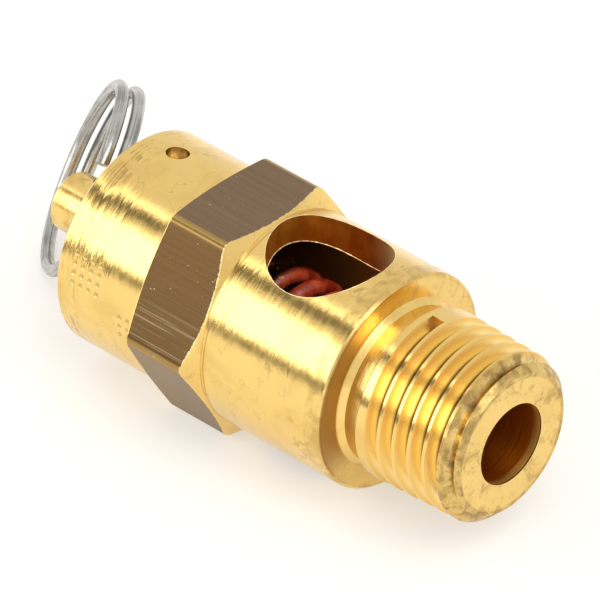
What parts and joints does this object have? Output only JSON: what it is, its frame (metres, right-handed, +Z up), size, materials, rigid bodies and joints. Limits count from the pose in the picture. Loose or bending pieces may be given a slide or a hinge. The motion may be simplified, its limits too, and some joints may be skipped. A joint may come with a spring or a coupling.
{
  "type": "pressure relief valve",
  "caption": "Brass spring-loaded pressure relief valve with a tapered pipe-thread inlet, hexagon, round discharge ports, a drilled stem and a wire pull ring.",
  "frame": {"origin": "on the valve's axis, at the centre of the inlet's end face", "axes": "+X along the axis, out of the inlet; +Z up, with the valve lying on one flat of its hexagon; the stem and ring are towards -X"},
  "size_m": [0.0523, 0.0212, 0.0174],
  "materials": {
    "brass_body": "turned bright, hexagon flats left brown from the bar",
    "seat_rubber": "matt",
    "brass_holder": "turned, dulled",
    "stem_metal": "turned",
    "red_spring": "gloss paint, rubbed",
    "washer_steel": "satin",
    "brass_screw": "turned",
    "pin_steel": "satin",
    "ring_steel": "drawn spring wire"
  },
  "bodies": {
    "body": {"valve_body": "brass_body", "spring": "red_spring", "spring_washer": "washer_steel", "adjusting_screw": "brass_screw", "lock_pin": "pin_steel"},
    "poppet": {"disc_holder": "brass_holder", "seat_disc": "seat_rubber"},
    "stem": {"stem": "stem_metal"},
    "ring": {"pull_ring": "ring_steel"}
  },
  "joints": [
    {"name": "lift", "type": "slide", "parent": "body", "child": "poppet", "axis": [-1, 0, 0], "range_m": [0, 0.0025], "stiffness_N_per_m": 8500, "springref_m": -0.0038, "deforming": ["spring"]},
    {"name": "stem_swivel", "type": "hinge", "parent": "poppet", "child": "stem", "pos_m": [-0.018, 0, 0], "axis": [1, 0, 0], "continuous": true},
    {"name": "ring_swing", "type": "hinge", "parent": "stem", "child": "ring", "pos_m": [-0.04115, 0, 0], "axis": [0, 0.5284, 0.849], "range_deg": [-60, 145]}
  ]
}
